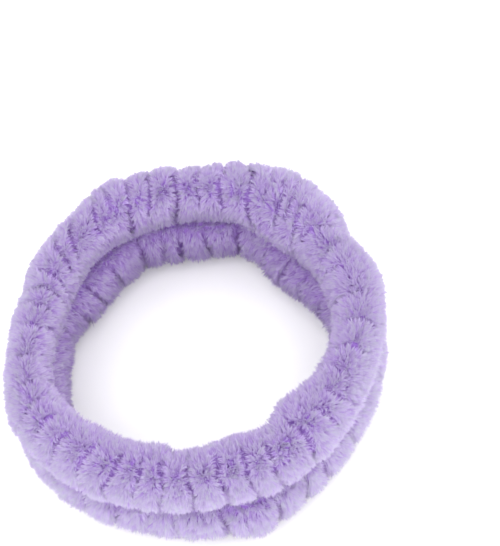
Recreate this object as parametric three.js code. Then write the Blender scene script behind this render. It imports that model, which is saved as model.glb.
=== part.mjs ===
// A gathered coral-fleece headband: one fleece cloth rolled into a tube and stitched along its middle
// round an elastic band, so that it puffs out into an upper and a lower lobe.
// Millimetres, +Z up along the ring's axis, origin under the ring's centre on the surface it stands on.
// The ring is in two halves, left and right of X = 0, which slide apart as the elastic stretches.
import * as THREE from "three";

// ---- driving dimensions ----
const RING_RADIUS = 83.2; // from the axis to the middle of the band
const BAND_HEIGHT = 66;
const LOBE_HALF_WIDTH = 16.8; // half of a lobe's thickness, along the ring's radius
const CLOTH_WALL = 6; // fleece backing and pile, round each lobe
const HALVES_GAP = 0.3; // between the two halves at rest
const TOUCH_GAP = 0.3; // between pieces that touch

const ELASTIC_HEIGHT = 6;
const ELASTIC_THICKNESS = 1;
const LAP_MIDDLE = THREE.MathUtils.degToRad(33); // where the elastic's and the cloth's ends are joined
const LAP_LENGTH = 16; // how far the elastic's two ends overlap

const NECK_HALF_WIDTH = 5.4; // half of the waist between the lobes, both cloth walls included
const CHANNEL_HALF_WIDTH = 2.2; // the channel that holds the elastic
const THREAD_RADIUS = 0.4;

const STEPS_PER_HALF = 24; // facets along half of the ring
const LOBE_FACETS = 17; // odd, so that the crest and the foot are flat
const HOLLOW_SIDES = 12;
const THREAD_SIDES = 6;

// ---- sizes that follow ----
const MID_HEIGHT = BAND_HEIGHT / 2;
const LOBE_FROM = THREE.MathUtils.degToRad(-60); // a lobe's round stretch leaves its waist here
const LOBE_SWEEP = THREE.MathUtils.degToRad(300);
const FACET_HALF_ANGLE = LOBE_SWEEP / LOBE_FACETS / 2;
const LOBE_MIDDLE = MID_HEIGHT * 1.5; // height of the upper lobe's middle
const LOBE_HALF_HEIGHT = (BAND_HEIGHT - LOBE_MIDDLE) / Math.cos(FACET_HALF_ANGLE);
const CHANNEL_HALF_HEIGHT = ELASTIC_HEIGHT / 2 + TOUCH_GAP;
const NECK_HALF_HEIGHT = CHANNEL_HALF_HEIGHT + 2.3; // up to where the waist opens into a lobe
const STITCH_HEIGHT = 3.6; // of each channel stitch row, from the middle of the band

const LEFT = { name: "left", from: Math.PI / 2, to: (3 * Math.PI) / 2, side: -1 };
const RIGHT = { name: "right", from: -Math.PI / 2, to: Math.PI / 2, side: 1 };

// ---- materials ----
const fleece = new THREE.MeshStandardMaterial({ color: 0xaf9ece, roughness: 0.95, metalness: 0 });
const elastic = new THREE.MeshStandardMaterial({ color: 0xe9e6ee, roughness: 0.8, metalness: 0 });
const thread = new THREE.MeshStandardMaterial({ color: 0x9f8ac4, roughness: 0.7, metalness: 0 });

// ---- geometry helpers ----

// Sweeps a section of (radius, height) points round the ring's axis, between two angles, with closed ends.
// The contour runs counter-clockwise and the holes run clockwise. shift(angle) moves the section outwards.
function sweep(contour, holes, from, to, steps, shift = () => 0) {
  const loops = [contour, ...holes];
  const flat = loops.flat();
  const positions = [];
  for (let step = 0; step <= steps; step++) {
    const angle = from + ((to - from) * step) / steps;
    for (const point of flat) {
      const radius = point.x + shift(angle);
      positions.push(radius * Math.cos(angle), radius * Math.sin(angle), point.y);
    }
  }
  const indices = [];
  let first = 0;
  for (const loop of loops) {
    for (let i = 0; i < loop.length; i++) {
      const a = first + i;
      const b = first + ((i + 1) % loop.length);
      for (let step = 0; step < steps; step++) {
        const here = step * flat.length;
        const next = here + flat.length;
        indices.push(here + a, next + a, next + b, here + a, next + b, here + b);
      }
    }
    first += loop.length;
  }
  const end = steps * flat.length;
  for (const [a, b, c] of THREE.ShapeUtils.triangulateShape(contour, holes)) {
    indices.push(a, b, c, end + a, end + c, end + b);
  }
  const geometry = new THREE.BufferGeometry();
  geometry.setAttribute("position", new THREE.Float32BufferAttribute(positions, 3));
  geometry.setIndex(indices);
  return geometry;
}

function rectangle(radius, height, halfWidth, halfHeight) {
  return [
    new THREE.Vector2(radius - halfWidth, height - halfHeight),
    new THREE.Vector2(radius + halfWidth, height - halfHeight),
    new THREE.Vector2(radius + halfWidth, height + halfHeight),
    new THREE.Vector2(radius - halfWidth, height + halfHeight),
  ];
}

function ellipse(radius, height, halfWidth, halfHeight, sides) {
  const points = [];
  for (let i = 0; i < sides; i++) {
    const angle = ((i + 0.5) * 2 * Math.PI) / sides;
    const out = halfWidth * Math.cos(angle);
    const up = halfHeight * Math.sin(angle);
    points.push(new THREE.Vector2(radius + out, height + up));
  }
  return points;
}

// ---- sections ----

// The band's outline: round lobes that nearly meet, and between them a waist that holds the elastic.
function bandOutline() {
  const upper = [new THREE.Vector2(RING_RADIUS + NECK_HALF_WIDTH, MID_HEIGHT + NECK_HALF_HEIGHT)];
  for (let i = 0; i <= LOBE_FACETS; i++) {
    const angle = LOBE_FROM + (LOBE_SWEEP * i) / LOBE_FACETS;
    const out = LOBE_HALF_WIDTH * Math.cos(angle);
    const up = LOBE_HALF_HEIGHT * Math.sin(angle);
    upper.push(new THREE.Vector2(RING_RADIUS + out, LOBE_MIDDLE + up));
  }
  upper.push(new THREE.Vector2(RING_RADIUS - NECK_HALF_WIDTH, MID_HEIGHT + NECK_HALF_HEIGHT));
  // The lower lobe is the upper one turned half way round the middle of the waist.
  const lower = upper.map((p) => new THREE.Vector2(2 * RING_RADIUS - p.x, BAND_HEIGHT - p.y));
  return [...upper, ...lower];
}

// The hollow inside a lobe, clockwise because it is a hole in the section.
function lobeHollow(height) {
  const halfWidth = LOBE_HALF_WIDTH - CLOTH_WALL;
  const halfHeight = LOBE_HALF_HEIGHT - CLOTH_WALL;
  return ellipse(RING_RADIUS, height, halfWidth, halfHeight, HOLLOW_SIDES).reverse();
}

function threadSection(out, height) {
  return ellipse(RING_RADIUS + out, height, THREAD_RADIUS, THREAD_RADIUS, THREAD_SIDES);
}

// ---- pieces ----

const ring = new THREE.Group();

function addPiece(name, geometry, material, half) {
  const mesh = new THREE.Mesh(geometry, material.clone());
  mesh.name = name;
  mesh.position.x = (half.side * HALVES_GAP) / 2;
  ring.add(mesh);
}

// The fleece cloth: an upper and a lower hollow lobe with the elastic's channel between them.
function addFleeceShell(half) {
  const channel = rectangle(RING_RADIUS, MID_HEIGHT, CHANNEL_HALF_WIDTH, CHANNEL_HALF_HEIGHT).reverse();
  const holes = [lobeHollow(LOBE_MIDDLE), channel, lobeHollow(BAND_HEIGHT - LOBE_MIDDLE)];
  const shell = sweep(bandOutline(), holes, half.from, half.to, STEPS_PER_HALF);
  addPiece(`fleece_shell_${half.name}`, shell, fleece, half);
}

const elasticSection = rectangle(RING_RADIUS, MID_HEIGHT, ELASTIC_THICKNESS / 2, ELASTIC_HEIGHT / 2);
const lapHalfAngle = LAP_LENGTH / RING_RADIUS / 2;

// The elastic is one strip. Its ends lap in the right half, the back end outside the front one.
function addElastic() {
  const lapShift = ELASTIC_THICKNESS + TOUCH_GAP;
  // Past the lap, the back end comes back into line over half the lap's length.
  const ease = (angle) => {
    const past = (angle - (LAP_MIDDLE + lapHalfAngle)) / lapHalfAngle;
    return lapShift * (1 - THREE.MathUtils.smoothstep(past, 0, 1));
  };
  const leftStrip = sweep(elasticSection, [], LEFT.from, LEFT.to, STEPS_PER_HALF);
  const frontStrip = sweep(elasticSection, [], RIGHT.from, LAP_MIDDLE + lapHalfAngle, STEPS_PER_HALF);
  const backStrip = sweep(elasticSection, [], LAP_MIDDLE - lapHalfAngle, RIGHT.to, STEPS_PER_HALF, ease);
  addPiece("elastic_left", leftStrip, elastic, LEFT);
  addPiece("elastic_right", frontStrip, elastic, RIGHT);
  addPiece("elastic_lapped_end", backStrip, elastic, RIGHT);
}

// The zigzag that sews the lap together, as the thread that lies on the lap's inner face.
function addSplice() {
  const radius = RING_RADIUS - ELASTIC_THICKNESS / 2 - TOUCH_GAP - THREAD_RADIUS;
  const strokes = 6;
  const length = LAP_LENGTH - 4;
  const reach = ELASTIC_HEIGHT / 2 - 2 * THREAD_RADIUS;
  // The thread's edge, raised or lowered by half of its width.
  const edge = (rise) => {
    const points = [];
    for (let i = 0; i <= strokes; i++) {
      const along = (i / strokes - 0.5) * length;
      points.push(new THREE.Vector2(along, (i % 2 ? reach : -reach) + rise));
    }
    return points;
  };
  const zigzag = new THREE.Shape([...edge(-THREAD_RADIUS), ...edge(THREAD_RADIUS).reverse()]);
  const geometry = new THREE.ExtrudeGeometry(zigzag, { depth: 2 * THREAD_RADIUS, bevelEnabled: false });
  geometry.rotateX(Math.PI / 2); // its length stays along X, its height goes to Z
  geometry.translate(0, THREAD_RADIUS, MID_HEIGHT);
  geometry.rotateZ(Math.PI / 2); // its length goes along the ring at angle 0
  geometry.translate(radius, 0, 0);
  geometry.rotateZ(LAP_MIDDLE);
  addPiece("elastic_splice_zigzag", geometry, thread, RIGHT);
}

// Two lockstitch rows hold the elastic in its channel. Each row shows a needle thread outside and a bobbin
// thread inside the ring.
function addChannelStitches(half) {
  const reach = NECK_HALF_WIDTH + TOUCH_GAP + THREAD_RADIUS;
  for (const [level, height] of [["upper", STITCH_HEIGHT], ["lower", -STITCH_HEIGHT]]) {
    for (const [kind, out] of [["needle", reach], ["bobbin", -reach]]) {
      const row = sweep(threadSection(out, MID_HEIGHT + height), [], half.from, half.to, STEPS_PER_HALF);
      addPiece(`channel_${kind}_thread_${level}_${half.name}`, row, thread, half);
    }
  }
}

// The seam that closes the rolled cloth runs inside the lower lobe, along its inner wall.
function addClosingSeam(half) {
  const reach = LOBE_HALF_WIDTH - CLOTH_WALL - 2 * TOUCH_GAP - 2 * THREAD_RADIUS;
  const section = threadSection(-reach, BAND_HEIGHT - LOBE_MIDDLE);
  const seam = sweep(section, [], half.from, half.to, STEPS_PER_HALF);
  addPiece(`closing_seam_thread_${half.name}`, seam, thread, half);
}

// The seam that joins the cloth's two ends: a loop of thread inside each lobe.
function addCrossSeam(level, height) {
  const closingSeamRoom = 2 * TOUCH_GAP + 2 * THREAD_RADIUS;
  const reach = LOBE_HALF_WIDTH - CLOTH_WALL - closingSeamRoom - 2 * THREAD_RADIUS;
  const loop = new THREE.TorusGeometry(reach, THREAD_RADIUS, THREAD_SIDES, STEPS_PER_HALF);
  loop.rotateX(Math.PI / 2); // its axis along Y, so that it circles the lobe at angle 0
  loop.translate(RING_RADIUS, 0, height);
  loop.rotateZ(LAP_MIDDLE);
  addPiece(`cross_seam_thread_${level}`, loop, thread, RIGHT);
}

for (const half of [LEFT, RIGHT]) {
  addFleeceShell(half);
  addChannelStitches(half);
  addClosingSeam(half);
}
addElastic();
addSplice();
addCrossSeam("upper", LOBE_MIDDLE);
addCrossSeam("lower", BAND_HEIGHT - LOBE_MIDDLE);

export default ring;
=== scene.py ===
"""Looks of the gathered fleece headband: cloth, pile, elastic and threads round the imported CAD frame."""

import math

import bmesh
import bpy
import numpy as np
from mathutils import Matrix, Vector


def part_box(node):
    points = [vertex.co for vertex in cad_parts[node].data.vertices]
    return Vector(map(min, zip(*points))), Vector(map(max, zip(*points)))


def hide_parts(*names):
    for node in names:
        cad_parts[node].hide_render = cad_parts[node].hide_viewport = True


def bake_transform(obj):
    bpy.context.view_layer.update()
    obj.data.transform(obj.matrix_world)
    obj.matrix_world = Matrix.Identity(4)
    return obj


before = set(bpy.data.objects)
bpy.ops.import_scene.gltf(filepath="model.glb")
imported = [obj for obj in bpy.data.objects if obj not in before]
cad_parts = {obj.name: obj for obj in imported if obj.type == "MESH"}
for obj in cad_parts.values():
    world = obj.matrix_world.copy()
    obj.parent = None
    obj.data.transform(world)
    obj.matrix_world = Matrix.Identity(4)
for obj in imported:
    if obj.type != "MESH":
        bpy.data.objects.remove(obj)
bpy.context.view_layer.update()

MM = 0.001
DEG = math.pi / 180
TURN = 2 * math.pi

# ---- sizes read from the frame ----
LEFT_LOW, LEFT_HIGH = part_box("fleece_shell_left")
_, RIGHT_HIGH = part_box("fleece_shell_right")
ELASTIC_LOW, ELASTIC_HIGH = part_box("elastic_left")
OUTER_RADIUS = (RIGHT_HIGH.x - LEFT_LOW.x) / 2
HEIGHT = LEFT_HIGH.z
MID_HEIGHT = HEIGHT / 2
ELASTIC_THICKNESS = 1 * MM
RING_RADIUS = ELASTIC_HIGH.y - ELASTIC_THICKNESS / 2
LOBE_RADIUS = OUTER_RADIUS - RING_RADIUS
LOBE_HALF_HEIGHT = HEIGHT / 4

# ---- camera: the view from above the front, leaning a little to one side ----
CAMERA_ELEVATION = 59.5 * DEG
CAMERA_ROLL = 16 * DEG
CAMERA_DISTANCE = 1.13
CAMERA_LENS = 146
AIM_RIGHT, AIM_UP = 27.6 * MM, 38.0 * MM  # the aim's place from the ring's middle, in the picture's plane


def make_camera():
    middle = Vector((0, 0, MID_HEIGHT))
    back = Vector((0, -math.cos(CAMERA_ELEVATION), math.sin(CAMERA_ELEVATION)))
    level_right = Vector((1, 0, 0))
    level_up = back.cross(level_right)
    right = level_right * math.cos(CAMERA_ROLL) - level_up * math.sin(CAMERA_ROLL)
    up = level_right * math.sin(CAMERA_ROLL) + level_up * math.cos(CAMERA_ROLL)
    place = middle + back * CAMERA_DISTANCE
    target = middle + right * AIM_RIGHT + up * AIM_UP
    axis_z = (place - target).normalized()
    axis_x = up.cross(axis_z).normalized()
    axis_y = axis_z.cross(axis_x)
    camera = bpy.data.objects.new("camera", bpy.data.cameras.new("camera"))
    bpy.context.scene.collection.objects.link(camera)
    camera.matrix_world = Matrix(
        (
            (axis_x.x, axis_y.x, axis_z.x, place.x),
            (axis_x.y, axis_y.y, axis_z.y, place.y),
            (axis_x.z, axis_y.z, axis_z.z, place.z),
            (0, 0, 0, 1),
        )
    )
    camera.data.lens = CAMERA_LENS
    camera.data.clip_start, camera.data.clip_end = 0.01, 20
    bpy.context.scene.camera = camera


# ---- gathers ----
# Each fold: (azimuth in degrees, depth in mm, where it starts and ends round the lobe in degrees, lean).
# Round a lobe, 0 is the outer side, 90 the crest and 180 the inner side. Lean turns the fold, in degrees
# of azimuth over a quarter of the lobe.
UPPER_FOLDS = [
    (3, 2.0, 100, 220, 3),
    (12, 1.6, 60, 200, -4),
    (21, 2.2, 20, 160, 5),
    (31, 3.0, 20, 250, -6),
    (37, 4.0, -60, 130, -6),
    (41.5, 3.0, 40, 160, -7),
    (47, 2.5, -60, 80, -5),
    (54.5, 6.0, -60, 200, -6),
    (64.5, 6.0, -30, 170, -2),
    (72.5, 4.0, 0, 150, 0),
    (80.5, 6.5, -60, 250, 2),
    (90.5, 5.5, 10, 160, 4),
    (98.5, 5.0, -10, 210, 4),
    (106, 3.0, -60, 120, 2),
    (112, 4.0, -10, 140, 5),
    (123, 6.0, 50, 150, 10),
    (130.5, 5.0, 20, 150, 8),
    (140.5, 3.5, 60, 200, 4),
    (148, 2.5, -60, 250, 0),
    (155, 1.8, -40, 150, 2),
    (164, 2.2, 60, 250, 0),
    (176, 1.6, -60, 120, 2),
    (187, 2.0, 80, 250, 0),
    (196, 1.6, -60, 140, -2),
    (204, 3.0, -60, 120, 0),
    (212.5, 4.0, -60, 100, 1),
    (222, 3.5, -60, 110, 0),
    (232, 4.5, -60, 105, 1),
    (240, 3.5, -60, 100, 0),
    (247.5, 5.0, -60, 105, 0),
    (252, 2.5, 150, 250, 0),
    (256.5, 5.5, -60, 105, 0),
    (266.5, 6.5, -60, 110, 0),
    (271, 2.5, 150, 250, 0),
    (275, 5.0, -60, 105, 0),
    (283, 4.5, -60, 100, 0),
    (290, 2.5, 150, 250, 0),
    (295, 5.0, -60, 105, 0),
    (305, 2.5, -60, 90, 0),
    (313, 3.5, -60, 100, -1),
    (321, 2.0, -20, 150, 2),
    (330, 2.2, 40, 200, -2),
    (341, 1.8, -60, 130, 2),
    (352, 2.0, 60, 200, 0),
]
# On the lower lobe the outer and the inner folds are separate, as its crest is pressed on the floor.
# Each fold here: (azimuth in degrees, depth in mm, lean).
LOWER_OUTER_FOLDS = [
    (2, 2.5, -2),
    (14, 3.0, 1),
    (27, 3.5, 0),
    (40, 4.5, 1),
    (53, 4.0, -1),
    (66, 5.0, 0),
    (77, 4.0, 0),
    (88, 5.0, 1),
    (107, 5.0, 0),
    (119, 4.0, -1),
    (132, 4.0, 1),
    (144, 3.5, 0),
    (157, 3.0, 2),
    (170, 2.5, 0),
    (183, 2.5, -1),
    (196, 2.5, 0),
    (208, 3.5, 1),
    (219, 3.5, 0),
    (230, 5.0, 0),
    (240, 3.5, 0),
    (250, 5.0, 1),
    (264, 6.0, 0),
    (270.5, 4.0, 0),
    (280, 5.5, 0),
    (290, 5.0, -1),
    (300, 5.5, 0),
    (313, 5.5, 0),
    (325, 3.5, 0),
    (337, 3.0, 1),
    (350, 2.5, 0),
]
LOWER_INNER_FOLDS = [
    (8, 3.5, 0),
    (20, 5.0, 0),
    (35, 6.0, -2),
    (47, 4.5, -1),
    (59.5, 9.0, 0),
    (71, 4.5, 1),
    (83, 6.0, 1),
    (92, 4.5, 0),
    (100, 5.5, 1),
    (113, 5.0, 2),
    (125, 5.0, 3),
    (137, 4.0, 2),
    (150, 3.0, 0),
    (166, 2.0, 0),
    (182, 2.5, 1),
    (199, 2.0, 0),
    (216, 3.0, 0),
    (233, 3.5, -1),
    (252, 3.5, 0),
    (271, 4.0, 0),
    (289, 3.5, 0),
    (306, 3.0, 1),
    (325, 2.5, 0),
    (345, 2.0, 0),
]

LOWER_OUTER_REACH, LOWER_INNER_REACH = (-60, 105), (115, 250)  # where they start and end round the lobe


def folds_of(lobe):
    """The lobe's folds as rows of azimuth, depth, start, end and lean, in radians and metres."""
    if lobe > 0:
        rows = UPPER_FOLDS
    else:
        rows = [(at, depth, *LOWER_OUTER_REACH, lean) for at, depth, lean in LOWER_OUTER_FOLDS]
        rows += [(at, depth, *LOWER_INNER_REACH, lean) for at, depth, lean in LOWER_INNER_FOLDS]
    rows = np.array(sorted(rows), float)
    rows[:, 0] *= DEG
    rows[:, 1] *= MM
    rows[:, 2:] *= DEG
    return rows


FOLDS = {1: folds_of(1), -1: folds_of(-1)}


def smoothstep(x):
    x = np.clip(x, 0, 1)
    return x * x * (3 - 2 * x)


def wave(theta, seed, low, high):
    """A smooth random wave round the ring, from -1 to 1, with these harmonics."""
    draw = np.random.default_rng(seed)
    total, weight = 0.0, 0.0
    for k in range(low, high + 1):
        a = draw.uniform(0.5, 1)
        total = total + a * np.sin(k * theta + draw.uniform(0, TURN))
        weight += a * a
    return total / math.sqrt(weight)


CREASE_WIDTH = 0.8 * MM
FOLD_FADE = 35 * DEG  # how gradually a fold starts and ends, round the lobe
FOLD_WANDER = 0.6 * DEG  # how far a fold strays from its straight line
BULGE_SHARE = 0.28  # of a fold's depth, taken up by the round of the ridges beside it
CREASE_SHARE = 0.55  # of a fold's depth, taken up by its sharp crease
DEEPEST_FOLD = 6.5 * MM
FANNING_DEPTH = 4.5 * MM  # beside a fold this deep the pile fans out fully from the ridge


def crease_width(depth):
    """A deeper fold opens wider."""
    return CREASE_WIDTH * (0.6 + 0.5 * depth / DEEPEST_FOLD)


def fold_field(lobe, theta, phi):
    """For points on a lobe: how deep the pile dips, the azimuth of the ridge's middle, and the crease."""
    folds = FOLDS[lobe]
    quarter = (phi[:, None] - math.pi / 2) / (math.pi / 2)
    at = folds[None, :, 0] + folds[None, :, 4] * quarter
    at = at + FOLD_WANDER * np.sin(3.1 * phi[:, None] + 7 * folds[None, :, 0])
    uneven = 0.85 + 0.22 * np.sin(2.3 * phi[:, None] + 40 * folds[None, :, 0])
    depth = folds[None, :, 1] * uneven
    depth = depth * smoothstep((phi[:, None] - folds[None, :, 2]) / FOLD_FADE + 0.3)
    depth = depth * smoothstep((folds[None, :, 3] - phi[:, None]) / FOLD_FADE + 0.3)
    gap = (theta[:, None] - at + math.pi) % TURN - math.pi
    after = np.where(gap >= 0, gap, np.inf)
    before = np.where(gap < 0, -gap, np.inf)
    left, right = after.argmin(1), before.argmin(1)
    row = np.arange(len(theta))
    to_left, to_right = after[row, left], before[row, right]
    width = to_left + to_right
    share = to_left / width
    dip_left, dip_right = depth[row, left], depth[row, right]
    dip = dip_left * (1 - share) + dip_right * share
    bulge = 1 - np.sqrt(np.clip(1 - (2 * share - 1) ** 2, 0, 1))
    crease = dip_left * np.exp(-to_left * RING_RADIUS / crease_width(dip_left))
    crease = np.maximum(crease, dip_right * np.exp(-to_right * RING_RADIUS / crease_width(dip_right)))
    fanned = smoothstep(dip / FANNING_DEPTH)
    dips = BULGE_SHARE * dip * bulge + CREASE_SHARE * crease
    return dips, theta + fanned * (to_right - to_left) / 2, crease


# How the hand-laid ring differs from a round one. Each point: azimuth in degrees, and how far that side of
# the lobe stands out from its usual place in mm, away from the ring's middle.
UPPER_OUTER = [
    (0, 0.5), (15, -3.3), (30, 3.8), (45, 7), (60, 4), (75, -2), (90, 0), (105, 4), (120, -1.5), (135, -3.5),
    (150, -6.5), (165, -6), (180, -0.5), (195, 3.5), (210, 3), (225, 2), (240, 0), (270, -1), (285, 1),
    (300, 0), (315, -2), (330, -3), (345, -1),
]
UPPER_INNER = [
    (15, 0), (30, -4), (45, -3), (60, -1), (75, 0), (120, 0), (135, -1), (150, -2), (165, 0), (180, 3),
    (195, 3.7), (206, 1.5), (217, -1.5), (227, -2), (236, -3.2), (244, -5), (251, -2), (258, -2.8), (272, -5),
    (286, -2.7), (301, -6.5), (310, -3.5), (320, -1), (342, 2.5), (355, 1.5),
]
LOWER_OUTER = [
    (0, 0), (165, 0), (180, -2.8), (195, 4), (210, 2), (225, 1.5), (240, -2.8), (255, -1.3), (264, -0.4),
    (273, 4), (282, 0.5), (292, -2), (302, -4.5), (312, -5), (334, -3.5),
]
LOWER_INNER = [
    (0, 0), (10, -4), (22, -8.5), (33, -9.5), (43, -6), (52, -1), (61, -0.8), (70, -3), (78, -3), (86, -2),
    (102, 0.5), (110, -3), (127, -4.3), (136, -3.5), (147, 0.5), (168, 0), (180, 1),
]
SHAPES = {1: (UPPER_OUTER, UPPER_INNER), -1: (LOWER_OUTER, LOWER_INNER)}


def ring_curve(points, theta):
    """A smooth curve round the ring through these points."""
    at = np.array([place for place, _ in points]) * DEG
    value = np.array([out for _, out in points]) * MM
    at = np.concatenate([at - TURN, at, at + TURN])
    value = np.tile(value, 3)
    turn = theta % TURN
    after = np.searchsorted(at, turn, side="right")
    start, end = at[after - 1], at[after]
    share = smoothstep((turn - start) / (end - start))
    return value[after - 1] * (1 - share) + value[after] * share


PILE_ROOM_ACROSS, PILE_ROOM_UP = 2.8 * MM, 1.8 * MM  # left free for the tips that stand proud
UNEVEN_ACROSS, UNEVEN_UP = 0.4 * MM, 0.5 * MM


def section(lobe, theta):
    """The lobe's middle radius, middle height, half width and half height at each azimuth."""
    outer, inner = (ring_curve(points, theta) for points in SHAPES[lobe])
    middle = RING_RADIUS + (outer + inner) / 2
    half_width = LOBE_RADIUS - PILE_ROOM_ACROSS + (outer - inner) / 2
    half_width = half_width + UNEVEN_ACROSS * wave(theta, 21 + lobe, 3, 14)
    half_height = LOBE_HALF_HEIGHT - PILE_ROOM_UP + UNEVEN_UP * wave(theta, 31 + lobe, 3, 12)
    height = MID_HEIGHT + lobe * LOBE_HALF_HEIGHT
    return middle, height, half_width, half_height


GRID_AROUND, GRID_ACROSS = 1440, 96
PHI_FROM, PHI_TO = -72 * DEG, 252 * DEG
NECK_GAP = 0.2 * MM


def grid_places(around, across):
    """The azimuth and the place round the section at each point of a lobe's grid."""
    theta = np.arange(around) * TURN / around
    phi = np.linspace(PHI_FROM, PHI_TO, across)
    return np.meshgrid(theta, phi, indexing="ij")


def lobe_grid(lobe):
    """The outside of the pile on one lobe, as a grid of points: along the ring, then round the section."""
    theta, phi = grid_places(GRID_AROUND, GRID_ACROSS)
    shape, theta, phi = theta.shape, theta.ravel(), phi.ravel()
    middle, height, half_width, half_height = section(lobe, theta)
    dip, ridge, crease = fold_field(lobe, theta, phi)
    # On the elastic's side the section reaches down to the ring's mid height, where the two lobes meet.
    half_height = np.where(np.sin(phi) < 0, -LOBE_HALF_HEIGHT / math.sin(PHI_FROM) - NECK_GAP, half_height)
    out = middle + (half_width - dip) * np.cos(phi)
    up = height + lobe * (half_height - dip * (np.sin(phi) > 0)) * np.sin(phi)
    points = np.stack([out * np.cos(theta), out * np.sin(theta), up], 1)
    return points.reshape(*shape, 3), np.stack([ridge - theta, crease / DEEPEST_FOLD], 1).reshape(*shape, 2)


# ---- cloth simulation ----
CLOTH_AROUND, CLOTH_ACROSS = 480, 40
CLOTH_FRAMES = 20
CLOTH_SPARE = 0.05  # how much longer the cloth is cut than the space it is gathered into
CLOTH_PRESSURE = 4
MOST_MOVE = 3.5 * MM


def puffed(lobe, grid):
    """The lobe's grid after its cloth has been cut too long, held along the elastic and filled out."""
    theta, phi = grid_places(CLOTH_AROUND, CLOTH_ACROSS)
    start = sample(grid, theta.ravel(), phi.ravel())
    index = np.arange(CLOTH_AROUND * CLOTH_ACROSS).reshape(CLOTH_AROUND, CLOTH_ACROSS)
    following = np.roll(index, -1, 0)
    faces = np.stack([index[:, :-1], following[:, :-1], following[:, 1:], index[:, 1:]], -1).reshape(-1, 4)
    if lobe < 0:
        faces = faces[:, ::-1]
    mesh = bpy.data.meshes.new("cloth_trial")
    mesh.from_pydata(start.tolist(), [], faces.tolist())
    cloth = bpy.data.objects.new("cloth_trial", mesh)
    scene = bpy.context.scene
    scene.collection.objects.link(cloth)
    held = cloth.vertex_groups.new(name="held")
    held.add(index[:, [0, 1, -2, -1]].ravel().tolist(), 1.0, "REPLACE")
    modifier = cloth.modifiers.new("cloth", "CLOTH")
    settings = modifier.settings
    settings.quality = 5
    settings.mass = 0.02
    settings.tension_stiffness = settings.compression_stiffness = 8
    settings.shear_stiffness = 3
    settings.bending_stiffness = 0.05
    settings.shrink_min = -CLOTH_SPARE
    settings.use_pressure = True
    settings.uniform_pressure_force = CLOTH_PRESSURE
    settings.vertex_group_mass = "held"
    settings.effector_weights.gravity = 0
    modifier.collision_settings.use_collision = False
    modifier.point_cache.frame_start, modifier.point_cache.frame_end = 1, CLOTH_FRAMES
    for moment in range(1, CLOTH_FRAMES + 1):
        scene.frame_set(moment)
    settled = cloth.evaluated_get(bpy.context.evaluated_depsgraph_get()).to_mesh()
    end = np.empty(len(start) * 3)
    settled.vertices.foreach_get("co", end)
    scene.frame_set(1)
    bpy.data.objects.remove(cloth)
    bpy.data.meshes.remove(mesh)
    move = end.reshape(-1, 3) - start
    length = np.linalg.norm(move, axis=1, keepdims=True)
    move *= MOST_MOVE * np.tanh(length / MOST_MOVE) / np.maximum(length, 1e-9)
    return grid + refined(move.reshape(CLOTH_AROUND, CLOTH_ACROSS, 3))


def refined(coarse):
    """A coarse grid's values on the fine grid, straight between its points."""
    x = np.arange(GRID_AROUND) * coarse.shape[0] / GRID_AROUND
    y = np.linspace(0, coarse.shape[1] - 1, GRID_ACROSS)
    i, j = x.astype(int), np.minimum(y.astype(int), coarse.shape[1] - 2)
    fx, fy = (x - i)[:, None, None], (y - j)[None, :, None]
    rows = coarse[i] * (1 - fx) + coarse[(i + 1) % coarse.shape[0]] * fx
    return rows[:, j] * (1 - fy) + rows[:, j + 1] * fy


def unit(vectors):
    return vectors / np.linalg.norm(vectors, axis=-1, keepdims=True)


NORMAL_REACH = 4  # cells


def grid_normals(grid, lobe):
    """Outward normals of a lobe's grid, from points a few cells apart so that creases stay soft."""
    along = np.roll(grid, -NORMAL_REACH, 0) - np.roll(grid, NORMAL_REACH, 0)
    padded = np.concatenate([grid[:, :1], grid, grid[:, -1:]], 1)
    across = padded[:, 2:] - padded[:, :-2]
    return unit(np.cross(across, along) * -lobe)


def sample(grid, theta, phi):
    """Values of a lobe's grid at these places, straight between its points."""
    x = (theta % TURN) / TURN * GRID_AROUND
    y = np.clip((phi - PHI_FROM) / (PHI_TO - PHI_FROM), 0, 1) * (GRID_ACROSS - 1)
    i, j = np.floor(x).astype(int), np.minimum(np.floor(y).astype(int), GRID_ACROSS - 2)
    fx, fy = (x - i)[:, None], (y - j)[:, None]
    i, k = i % GRID_AROUND, (i + 1) % GRID_AROUND
    near = grid[i, j] * (1 - fy) + grid[i, j + 1] * fy
    far = grid[k, j] * (1 - fy) + grid[k, j + 1] * fy
    return near * (1 - fx) + far * fx


def under_tips(lobe, theta, phi, depth):
    """Points at this depth under the tips of a lobe's pile. Each of the three may also be a single number."""
    theta, phi, depth = np.broadcast_arrays(theta, phi, depth)
    return sample(GRIDS[lobe], theta, phi) - sample(NORMALS[lobe], theta, phi) * depth[:, None]


# ---- pile ----
TUFTS_PER_LOBE = 52000
STRANDS_PER_TUFT = 6
TUFT_SPREAD = 0.6 * MM
STRAND_RADIUS = 0.27 * MM
PILE_DEPTH = 3.9 * MM
UNDERCOAT_DEPTH = 2.9 * MM
NAP = 1.5 * MM
NAP_PARTING = 65 * DEG  # how far round the lobe the nap takes to turn over its crest
CLUMPING = 0.7  # how far a tuft's tips come together
RIDGE_PULL = 0.22  # how far the roots are gathered towards the middle of their ridge
NECK_PAINTED_SHADE = 0.2  # painted shade: how much deeper in tone the pile is painted towards the elastic, where the lobes meet
NECK_FROM, NECK_FADE = 110, 50  # degrees from the crest
MOTTLE = 0.07  # soft patches of deeper and paler pile
MEAN_TONE, TUFT_TONES, STRAND_TONES = 0.46, 0.42, 0.42  # the middle tone, and how far tufts and strands vary
OUTER_PAINTED_LIGHT = 0.14  # painted light: how much paler the outer side is painted, for the sheen of its fibres
CREASE_PAINTED_SHADE = 1.0  # painted shade: how much deeper in tone the deepest crease is painted
DEEPEST_TONE, PALEST_TONE = 0.02, 0.98
INNER_PAINTED_SHADE = 0.08  # painted shade: how much deeper in tone the lower lobe's inner side is painted
MOST_PULLED = 3.5 * MM
FLOOR_GAP = 0.2 * MM
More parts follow.
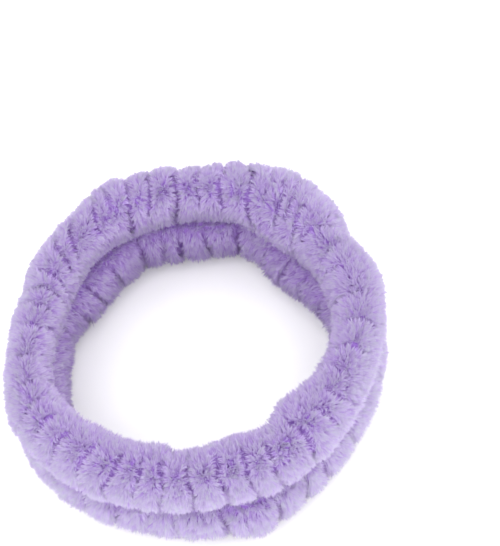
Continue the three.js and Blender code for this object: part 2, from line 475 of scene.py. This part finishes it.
STRAND_SIDE_SHADE = 0.45  # how much a strand's own roundness shows in its shading, beside the surface's
STRAND_TIP_SHADE = 0.3  # how much a tip's shading follows its strand
TIP_LIFT = 0.4 * MM  # how far tips stand out from the grid
TUFT_LIFTS, STRAND_LIFTS = 0.6 * MM, 0.35 * MM
SWIRL_ALONG, SWIRL_ACROSS, STRAY = 0.4 * MM, 0.5 * MM, 0.45 * MM  # how far tufts lean, in swirls and singly


def pile_of(lobe, seed):
    """The pile of one lobe: roots and tips of every strand, its shading direction and its tone."""
    draw = np.random.default_rng(seed)
    folds = FOLD_GRIDS[lobe]
    n = TUFTS_PER_LOBE
    theta, phi = draw.uniform(0, TURN, n), draw.uniform(PHI_FROM, PHI_TO, n)
    # Fewer tufts where the ring is narrower inside, so that they stand equally dense.
    keep = draw.uniform(0, 1, n) < (RING_RADIUS + LOBE_RADIUS * np.cos(phi)) / OUTER_RADIUS
    theta, phi = theta[keep], phi[keep]
    n = len(theta)
    lift = draw.normal(0, TUFT_LIFTS, n)
    tone = draw.uniform(0, 1, n)
    k = STRANDS_PER_TUFT
    spread = TUFT_SPREAD * draw.normal(0, 1, (2, n * k))
    swirl_t = SWIRL_ALONG * wave(3 * theta + 2 * phi, 41, 4, 20) + draw.normal(0, STRAY, n)
    swirl_p = SWIRL_ACROSS * wave(2 * theta - 3 * phi, 43, 4, 20) + draw.normal(0, STRAY, n)
    # The nap hangs down on both lobes: away from the upper crest and towards the lower one.
    swirl_p += lobe * NAP * np.tanh((phi - math.pi / 2) / NAP_PARTING)
    tip_t = np.repeat(theta, k) + spread[0] * (1 - CLUMPING) / RING_RADIUS
    tip_p = np.clip(np.repeat(phi, k) + spread[1] * (1 - CLUMPING) / LOBE_RADIUS, PHI_FROM, PHI_TO)
    root_t = tip_t + (CLUMPING * spread[0] - np.repeat(swirl_t, k)) / RING_RADIUS
    root_p = np.clip(tip_p + (CLUMPING * spread[1] - np.repeat(swirl_p, k)) / LOBE_RADIUS, PHI_FROM, PHI_TO)
    to_ridge = sample(folds, root_t, root_p)[:, 0] * RING_RADIUS
    root_t += RIDGE_PULL * MOST_PULLED * np.tanh(to_ridge / MOST_PULLED) / RING_RADIUS
    normal = sample(NORMALS[lobe], tip_t, tip_p)
    raised = np.repeat(lift, k) + draw.normal(0, STRAND_LIFTS, n * k) + TIP_LIFT
    tips = sample(GRIDS[lobe], tip_t, tip_p) + normal * raised[:, None]
    roots = under_tips(lobe, root_t, root_p, PILE_DEPTH)
    tones = MEAN_TONE + TUFT_TONES * (np.repeat(tone, k) - 0.5)
    tones += STRAND_TONES * draw.uniform(-0.5, 0.5, n * k)
    crease = sample(folds, tip_t, tip_p)[:, 1]
    # Painted light on the outer side and painted shade in the creases, both put into the tone.
    tones += OUTER_PAINTED_LIGHT * np.maximum(np.cos(tip_p), 0) - CREASE_PAINTED_SHADE * crease**2
    # Painted shade towards the elastic.
    tones -= NECK_PAINTED_SHADE * smoothstep((np.abs(tip_p - math.pi / 2) / DEG - NECK_FROM) / NECK_FADE)
    tones += MOTTLE * (wave(3 * tip_t + tip_p, 47, 6, 30) + wave(3 * tip_t - tip_p, 48, 6, 30))
    # Painted shade on the lower lobe's inner side.
    if lobe < 0:
        tones -= INNER_PAINTED_SHADE * np.maximum(-np.cos(tip_p), 0)
    return roots, tips, normal, np.clip(tones, DEEPEST_TONE, PALEST_TONE), tip_t % TURN


STRAND_MAP_WIDTH = 0.008  # how far a strand's map reaches to each side of its tone
ROOT_MAP_RISE = 0.02  # the steps in the map between the corners of a strand's root


def strand_mesh(name, roots, tips, normals, tones):
    """Pointed three-sided strands as one mesh. Its UV map holds the tone across and the way up along."""
    n = len(roots)
    axis = unit(tips - roots)
    side = unit(np.cross(axis, np.array([0.31, 0.17, 0.93])))
    other = np.cross(axis, side)
    points = np.empty((n, 4, 3))
    for i in range(3):
        a = i * TURN / 3
        points[:, i] = roots + STRAND_RADIUS * (math.cos(a) * side + math.sin(a) * other)
    points[:, 3] = tips
    points[..., 2] = np.maximum(points[..., 2], FLOOR_GAP)
    corners = np.array([0, 1, 3, 1, 2, 3, 2, 0, 3, 2, 1, 0])
    loops = (corners[None, :] + np.arange(n)[:, None] * 4).ravel()
    mesh = bpy.data.meshes.new(name)
    mesh.vertices.add(n * 4)
    mesh.vertices.foreach_set("co", points.astype(np.float32).ravel())
    mesh.loops.add(len(loops))
    mesh.loops.foreach_set("vertex_index", loops.astype(np.int32))
    mesh.polygons.add(n * 4)
    mesh.polygons.foreach_set("loop_start", np.arange(0, n * 12, 3, dtype=np.int32))
    mesh.polygons.foreach_set("loop_total", np.full(n * 4, 3, np.int32))
    mesh.polygons.foreach_set("use_smooth", np.ones(n * 4, bool))
    across = np.array([-1, 1, 0, 0]) * STRAND_MAP_WIDTH
    up = np.array([0.0, ROOT_MAP_RISE, 2 * ROOT_MAP_RISE, 1.0])
    uv = np.empty((n, 12, 2), np.float32)
    uv[..., 0] = tones[:, None] + across[corners][None, :]
    uv[..., 1] = up[corners][None, :]
    layer = mesh.uv_layers.new(name="OFBake")
    layer.uv.foreach_set("vector", uv.ravel())
    mesh.update(calc_edges=True)
    shading = np.empty((n, 4, 3))
    for i in range(3):
        a = i * TURN / 3
        shading[:, i] = normals + STRAND_SIDE_SHADE * (math.cos(a) * side + math.sin(a) * other)
    shading[:, 3] = normals + STRAND_TIP_SHADE * axis
    mesh.normals_split_custom_set_from_vertices(unit(shading).reshape(-1, 3))
    return mesh


def add_object(name, mesh, material):
    mesh.materials.append(material)
    piece = bpy.data.objects.new(name, mesh)
    bpy.context.scene.collection.objects.link(piece)
    return piece


def across_stretch(piece):
    """The piece, with its placement applied to its mesh."""
    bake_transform(piece)
    return piece


# ---- materials ----
def principled(name, colour, roughness):
    material = bpy.data.materials.new(name)
    material.use_nodes = True
    shader = material.node_tree.nodes["Principled BSDF"]
    shader.inputs["Base Color"].default_value = (*colour, 1)
    shader.inputs["Roughness"].default_value = roughness
    return material, material.node_tree, shader


# The backing cloth's own purple, darkened as painted shade for its place deep under the pile.
BACKING_COLOURS_AND_SHADE = [(0, (0.32, 0.17, 0.57)), (1, (0.38, 0.22, 0.65))]
# The roots' own purple, darkened as painted shade deep in the pile.
ROOT_COLOUR_AND_SHADE = (0.41, 0.25, 0.67)
# The tone ramp, from deep to pale. Besides the strands' random tone it turns painted shade into its deep
# colours and painted light into its pale ones.
TIP_COLOURS = [
    (0, (0.41, 0.24, 0.70)),
    (0.22, (0.54, 0.38, 0.81)),
    (0.5, (0.66, 0.57, 0.84)),
    (1, (0.64, 0.68, 0.75)),
]
WEBBING_COLOURS = [(0, (0.72, 0.69, 0.80)), (1, (0.84, 0.83, 0.87))]
THREAD_COLOURS = [(0, (0.36, 0.26, 0.56)), (1, (0.48, 0.38, 0.68))]


def ramp_node(tree, stops, source):
    ramp = tree.nodes.new("ShaderNodeValToRGB")
    elements = ramp.color_ramp.elements
    elements[0].position, elements[1].position = stops[0][0], stops[-1][0]
    for place, colour in stops[1:-1]:
        elements.new(place)
    for element, (_, colour) in zip(elements, stops):
        element.color = (*colour, 1)
    tree.links.new(source, ramp.inputs["Fac"])
    return ramp.outputs["Color"]


def pile_material():
    """Each strand goes from a deep colour at its root, the cloth's purple darkened as painted shade deep in
    the pile, to a paler tip, by its own tone.
    """
    material, tree, shader = principled("fleece_pile", TIP_COLOURS[1][1], 0.85)
    uv = tree.nodes.new("ShaderNodeUVMap")
    uv.uv_map = "OFBake"
    split = tree.nodes.new("ShaderNodeSeparateXYZ")
    tree.links.new(uv.outputs["UV"], split.inputs[0])
    mix = tree.nodes.new("ShaderNodeMix")
    mix.data_type = "RGBA"
    rise = tree.nodes.new("ShaderNodeMath")
    rise.operation = "POWER"
    rise.inputs[1].default_value = 0.6
    tree.links.new(split.outputs["Y"], rise.inputs[0])
    tree.links.new(rise.outputs["Value"], mix.inputs["Factor"])
    mix.inputs["A"].default_value = (*ROOT_COLOUR_AND_SHADE, 1)
    tree.links.new(ramp_node(tree, TIP_COLOURS, split.outputs["X"]), mix.inputs["B"])
    tree.links.new(mix.outputs["Result"], shader.inputs["Base Color"])
    shader.inputs["Sheen Weight"].default_value = 0.12
    shader.inputs["Sheen Roughness"].default_value = 0.5
    shader.inputs["Sheen Tint"].default_value = (0.85, 0.83, 0.95, 1)
    shader.inputs["Specular IOR Level"].default_value = 0.2
    return material


def woven_material(name, stops, roughness, repeats, relief):
    """Yarns in bands along the mesh's own map, uneven in colour, with their relief."""
    material, tree, shader = principled(name, stops[0][1], roughness)
    uv = tree.nodes.new("ShaderNodeUVMap")
    uv.uv_map = "OFBake"
    mapping = tree.nodes.new("ShaderNodeMapping")
    mapping.inputs["Scale"].default_value = (*repeats, 1)
    tree.links.new(uv.outputs["UV"], mapping.inputs["Vector"])
    yarns = tree.nodes.new("ShaderNodeTexWave")
    yarns.bands_direction = "DIAGONAL"
    yarns.inputs["Scale"].default_value = 1
    yarns.inputs["Distortion"].default_value = 0.6
    yarns.inputs["Detail"].default_value = 1
    mottle = tree.nodes.new("ShaderNodeTexNoise")
    mottle.inputs["Scale"].default_value = 0.35
    for node in (yarns, mottle):
        tree.links.new(mapping.outputs["Vector"], node.inputs["Vector"])
    blend = tree.nodes.new("ShaderNodeMix")
    blend.inputs["Factor"].default_value = 0.4
    tree.links.new(yarns.outputs["Fac"], blend.inputs["A"])
    tree.links.new(mottle.outputs["Fac"], blend.inputs["B"])
    tree.links.new(ramp_node(tree, stops, blend.outputs["Result"]), shader.inputs["Base Color"])
    bump = tree.nodes.new("ShaderNodeBump")
    bump.inputs["Strength"].default_value = 0.6
    bump.inputs["Distance"].default_value = relief
    tree.links.new(yarns.outputs["Fac"], bump.inputs["Height"])
    tree.links.new(bump.outputs["Normal"], shader.inputs["Normal"])
    shader.inputs["Sheen Weight"].default_value = 0.15
    shader.inputs["Specular IOR Level"].default_value = 0.3
    return material


# ---- floor and light ----
def make_studio():
    floor_mesh = bpy.data.meshes.new("floor")
    size = 6.0
    floor_mesh.from_pydata(
        [(-size, -size, 0), (size, -size, 0), (size, size, 0), (-size, size, 0)], [], [(0, 1, 2, 3)]
    )
    material, _, shader = principled("floor", (0.96, 0.96, 0.96), 0.9)
    shader.inputs["Specular IOR Level"].default_value = 0.1
    floor = add_object("floor", floor_mesh, material)
    bpy.context.scene.view_settings.view_transform = "Standard"
    world = bpy.data.worlds.new("studio")
    bpy.context.scene.world = world
    world.use_nodes = True
    background = world.node_tree.nodes["Background"]
    background.inputs["Color"].default_value = (1, 1, 1, 1)
    background.inputs["Strength"].default_value = 2.0
    for name, place, power, width in (
        ("key", (0.1, -1.2, 1.2), 2.6, 1.0),
        ("fill", (-0.8, -0.2, 1.3), 1.5, 1.0),
        ("low front", (-0.1, -1.5, 0.45), 0.6, 0.8),
    ):
        light = bpy.data.lights.new(name, "AREA")
        light.energy, light.size = power, width
        lamp = bpy.data.objects.new(name, light)
        bpy.context.scene.collection.objects.link(lamp)
        lamp.location = place
        lamp.rotation_mode = "QUATERNION"
        lamp.rotation_quaternion = (Vector(place) - Vector((0, 0, MID_HEIGHT))).to_track_quat("Z", "Y")


# ---- meshes from rows of points ----
def loft(name, rows, capped=False):
    """A mesh through closed rows of points, from row to row. Its ends are closed by caps or by each other."""
    count, length = rows.shape[:2]
    index = np.arange(count * length).reshape(count, length)
    following = index[1:] if capped else np.roll(index, -1, 0)
    first = index[:-1] if capped else index
    turned, turned_following = np.roll(first, -1, 1), np.roll(following, -1, 1)
    faces = np.stack([first, following, turned_following, turned], -1).reshape(-1, 4).tolist()
    if capped:
        faces += [index[0].tolist(), index[-1, ::-1].tolist()]
    mesh = bpy.data.meshes.new(name)
    mesh.from_pydata(rows.reshape(-1, 3).tolist(), [], faces)
    mesh.polygons.foreach_set("use_smooth", [len(face) == 4 for face in faces])
    # The map runs once along the rows and once round each row. A cap takes a round patch of it.
    i, j = np.meshgrid(np.arange(len(first)), np.arange(length), indexing="ij")
    around_face = ((0, 0), (1, 0), (1, 1), (0, 1))
    corners = [np.stack([(i + a) / len(first), (j + b) / length], -1) for a, b in around_face]
    places = [np.stack(corners, -2).reshape(-1, 2)]
    if capped:
        angle = np.arange(length) * TURN / length
        places += [0.5 + 0.4 * np.stack([np.cos(angle), np.sin(angle)], -1)] * 2
    layer = mesh.uv_layers.new(name="OFBake")
    layer.uv.foreach_set("vector", np.concatenate(places).astype(np.float32).ravel())
    return mesh


def turned_outward(mesh):
    """The mesh with its faces turned so that a closed part's volume is positive."""
    work = bmesh.new()
    work.from_mesh(mesh)
    if work.calc_volume(signed=True) < 0:
        bmesh.ops.reverse_faces(work, faces=work.faces)
        work.to_mesh(mesh)
    work.free()
    return mesh


def round_thread(name, path, radius, sides=8, closed=True):
    """A round thread along a path of points."""
    ahead = np.roll(path, -1, 0) - np.roll(path, 1, 0)
    if not closed:
        ahead[0], ahead[-1] = path[1] - path[0], path[-1] - path[-2]
    ahead = unit(ahead)
    side = unit(np.cross(ahead, np.array([0.05, 0.03, 1.0])))
    other = np.cross(ahead, side)
    angle = np.arange(sides) * TURN / sides
    rows = path[:, None] + radius * (
        np.cos(angle)[None, :, None] * side[:, None] + np.sin(angle)[None, :, None] * other[:, None]
    )
    return turned_outward(loft(name, rows, capped=not closed))


def finished(name, mesh, material, slot, *replaced):
    piece = across_stretch(add_object(name, mesh, material))
    if replaced:
        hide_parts(*replaced)
    return piece


# ---- cloth ----
CLOTH_THICKNESS = 1.8 * MM
CLOTH_STEPS = 768
CLOTH_ROWS = 38
PUCKERS, PUCKER_DEPTH = 96, 1.4 * MM  # small gathers of the cloth between the folds
SEWN_FROM, SEWN_FADE = 150, 30  # degrees from the crest; by the seams the cloth is held flat


def cloth_rows(depth):
    """Rows along the ring, once round the section through both lobes, at this depth under the tips."""
    theta = np.arange(CLOTH_STEPS) * TURN / CLOTH_STEPS
    rows = []
    for lobe in (1, -1):
        angles = np.linspace(PHI_FROM, PHI_TO, CLOTH_ROWS)[::lobe]
        for phi in angles:
            free = smoothstep((SEWN_FROM - abs(phi - math.pi / 2) / DEG) / SEWN_FADE)
            pucker = PUCKER_DEPTH * free * (0.5 - 0.5 * np.cos(PUCKERS * theta + 2 * math.sin(3 * phi)))
            rows.append(under_tips(lobe, theta, phi, depth + pucker))
    return np.array(rows)


def make_cloth():
    """The gathered fleece: one wall, closed on itself, with a face under the pile and a face inside."""
    outside, inside = cloth_rows(UNDERCOAT_DEPTH), cloth_rows(UNDERCOAT_DEPTH + CLOTH_THICKNESS)
    outer = turned_outward(loft("fleece_cloth", outside))
    inner = turned_outward(loft("fleece_cloth_inside", inside))
    work = bmesh.new()
    work.from_mesh(inner)
    bmesh.ops.reverse_faces(work, faces=work.faces)
    work.from_mesh(outer)
    work.to_mesh(outer)
    work.free()
    bpy.data.meshes.remove(inner)
    cloth_look = woven_material("fleece_backing", BACKING_COLOURS_AND_SHADE, 0.95, (160, 70), 0.2 * MM)
    outer.materials.clear()
    cloth = finished("fleece_cloth", outer, cloth_look, "fleece", "fleece_shell_left", "fleece_shell_right")


# ---- elastic ----
LAP_LOW, LAP_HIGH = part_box("elastic_splice_zigzag")
LAP_MIDDLE = math.atan2((LAP_LOW.y + LAP_HIGH.y) / 2, (LAP_LOW.x + LAP_HIGH.x) / 2)
LAP_LENGTH = 16 * MM
ELASTIC_HEIGHT = ELASTIC_HIGH.z - ELASTIC_LOW.z
THREAD_RADIUS = 0.4 * MM
TOUCH_GAP = 0.3 * MM
RIB_COUNT, RIB_DEPTH = 6, 0.12 * MM
BAND_STEPS = 420
RIPPLES, RIPPLE_HEIGHT = 90, 0.15 * MM
ZIGZAG_STROKES = 12
ZIGZAG_MARGIN = 4 * MM  # the lap's length that the zigzag leaves free, both ends together
CHANNEL_HALF_HEIGHT = 4.6 * MM  # from the ring's mid height to where the channel's walls part into a lobe
CHANNEL_SMOOTHING = 12  # degrees of azimuth over which the elastic evens out the channel's wiggles


def channel_middle(theta, up):
    """The radius midway between the channel's walls, at each azimuth (rows) and height (columns)."""
    even = np.arange(360) * DEG
    middles = {}
    for lobe in (1, -1):
        radius = 0
        for phi in (PHI_FROM, PHI_TO):
            wall = under_tips(lobe, even, phi, UNDERCOAT_DEPTH + CLOTH_THICKNESS)
            radius = radius + np.hypot(wall[:, 0], wall[:, 1]) / 2
        half = CHANNEL_SMOOTHING // 2
        radius = sum(np.roll(radius, k) for k in range(-half, half + 1)) / (2 * half + 1)
        middles[lobe] = np.interp(theta % TURN, even, radius, period=TURN)
    share = 0.5 + up / CHANNEL_HALF_HEIGHT / 2
    return middles[-1][:, None] * (1 - share) + middles[1][:, None] * share


def elastic_section():
    """The strip's section as steps out of the ring and up, with a ribbed face on each side."""
    up = np.linspace(-1, 1, RIB_COUNT * 6 + 1)
    face = ELASTIC_THICKNESS / 2 - RIB_DEPTH * (0.5 + 0.5 * np.cos(RIB_COUNT * math.pi * up + math.pi))
    out = np.concatenate([face, -face[::-1]])
    return out, np.concatenate([up, up[::-1]]) * ELASTIC_HEIGHT / 2


def make_elastic():
    half = LAP_LENGTH / RING_RADIUS / 2
    along = np.linspace(LAP_MIDDLE - half, LAP_MIDDLE + half + TURN, BAND_STEPS)
    into_lap = 1 - smoothstep((along - (LAP_MIDDLE + half)) / half)
    shift = (ELASTIC_THICKNESS + TOUCH_GAP) * into_lap
    out, up = elastic_section()
    radius = channel_middle(along, up[None, :]) + shift[:, None] + out[None, :]
    ripple = RIPPLE_HEIGHT * np.sin(RIPPLES * along)[:, None]
    rows = np.stack(
        [
            radius * np.cos(along)[:, None],
            radius * np.sin(along)[:, None],
            MID_HEIGHT + up[None, :] + ripple,
        ],
        -1,
    )
    look = woven_material("elastic_webbing", WEBBING_COLOURS, 0.75, (120, 12), 0.15 * MM)
    mesh = turned_outward(loft("elastic_band", rows, capped=True))
    finished("elastic_band", mesh, look, "elastic", "elastic_left", "elastic_right", "elastic_lapped_end")


def make_splice(look):
    """The zigzag that sews the lap, on its inner face."""
    reach = ELASTIC_HEIGHT / 2 - THREAD_RADIUS
    along = np.linspace(-0.5, 0.5, ZIGZAG_STROKES * 6 + 1)
    wave_up = 2 * np.abs((along * ZIGZAG_STROKES / 2) % 1 - 0.5) * 2 - 1
    angle = LAP_MIDDLE + along * (LAP_LENGTH - ZIGZAG_MARGIN) / RING_RADIUS
    radius = channel_middle(angle, (reach * wave_up)[:, None])[:, 0] - ELASTIC_THICKNESS / 2 - THREAD_RADIUS
    path = np.stack([radius * np.cos(angle), radius * np.sin(angle), MID_HEIGHT + reach * wave_up], 1)
    mesh = round_thread("elastic_splice_zigzag", path, THREAD_RADIUS * 0.7, closed=False)
    finished("elastic_splice_zigzag", mesh, look, "thread", "elastic_splice_zigzag")


# ---- stitches ----
STITCH_LENGTH = 3 * MM
STITCH_PHI = {"needle": -62 * DEG, "bobbin": 242 * DEG}
STITCH_DIP = 0.45 * MM
CLOSING_SEAM_PHI = 180 * DEG
CLOSING_SEAM_STEPS, CROSS_SEAM_STEPS = 520, 60
CROSS_SEAM_MARGIN = 8 * DEG
CROSS_SEAM_SPACE = 2.2 * THREAD_RADIUS  # the cross seams lie farther in than the closing seam


def make_channel_stitches(look):
    """Lockstitch rows that hold the elastic's channel. Each stitch lies on the cloth and dips at its ends."""
    stitches = round(TURN * RING_RADIUS / STITCH_LENGTH)
    theta = np.arange(stitches * 5) * TURN / (stitches * 5)
    dip = STITCH_DIP * (1 - np.abs(np.sin(theta * stitches / 2)) ** 0.5)
    for kind, phi in STITCH_PHI.items():
        for lobe, level in ((1, "upper"), (-1, "lower")):
            path = under_tips(lobe, theta, phi, UNDERCOAT_DEPTH - THREAD_RADIUS * 0.6 + dip)
            name = f"channel_{kind}_thread_{level}"
            mesh = round_thread(name, path, THREAD_RADIUS, sides=6)
            finished(name, mesh, look, "thread", f"{name}_left", f"{name}_right")


def make_hidden_seams(look):
    """The seam that closes the roll, inside the lower lobe, and the seams that join the cloth's two ends."""
    inside = UNDERCOAT_DEPTH + CLOTH_THICKNESS + PUCKER_DEPTH + THREAD_RADIUS
    theta = np.arange(CLOSING_SEAM_STEPS) * TURN / CLOSING_SEAM_STEPS
    path = under_tips(-1, theta, CLOSING_SEAM_PHI, inside)
    name = "closing_seam_thread"
    mesh = round_thread(name, path, THREAD_RADIUS)
    finished(name, mesh, look, "thread", f"{name}_left", f"{name}_right")
    for lobe, level in ((1, "upper"), (-1, "lower")):
        phi = np.linspace(PHI_FROM + CROSS_SEAM_MARGIN, PHI_TO - CROSS_SEAM_MARGIN, CROSS_SEAM_STEPS)
        path = under_tips(lobe, LAP_MIDDLE, phi, inside + CROSS_SEAM_SPACE)
        name = f"cross_seam_thread_{level}"
        mesh = round_thread(name, path, THREAD_RADIUS, closed=False)
        finished(name, mesh, look, "thread", name)


SECTORS = 6  # the pile of each lobe is kept in this many pieces

make_camera()
make_studio()
GRIDS, FOLD_GRIDS, NORMALS = {}, {}, {}
for lobe in (1, -1):
    grid, FOLD_GRIDS[lobe] = lobe_grid(lobe)
    GRIDS[lobe] = puffed(lobe, grid)
    NORMALS[lobe] = grid_normals(GRIDS[lobe], lobe)

make_cloth()
pile_look = pile_material()
for lobe, label in ((1, "upper"), (-1, "lower")):
    roots, tips, normals, tones, azimuth = pile_of(lobe, 100 + lobe)
    sector = (azimuth / TURN * SECTORS).astype(int)
    for i in range(SECTORS):
        chosen = sector == i
        name = f"fleece_pile_{label}_{i + 1}"
        mesh = strand_mesh(name, roots[chosen], tips[chosen], normals[chosen], tones[chosen])
        finished(name, mesh, pile_look, "fleece")
make_elastic()
thread_look = woven_material("sewing_thread", THREAD_COLOURS, 0.6, (150, 1), 0.1 * MM)
make_splice(thread_look)
make_channel_stitches(thread_look)
make_hidden_seams(thread_look)
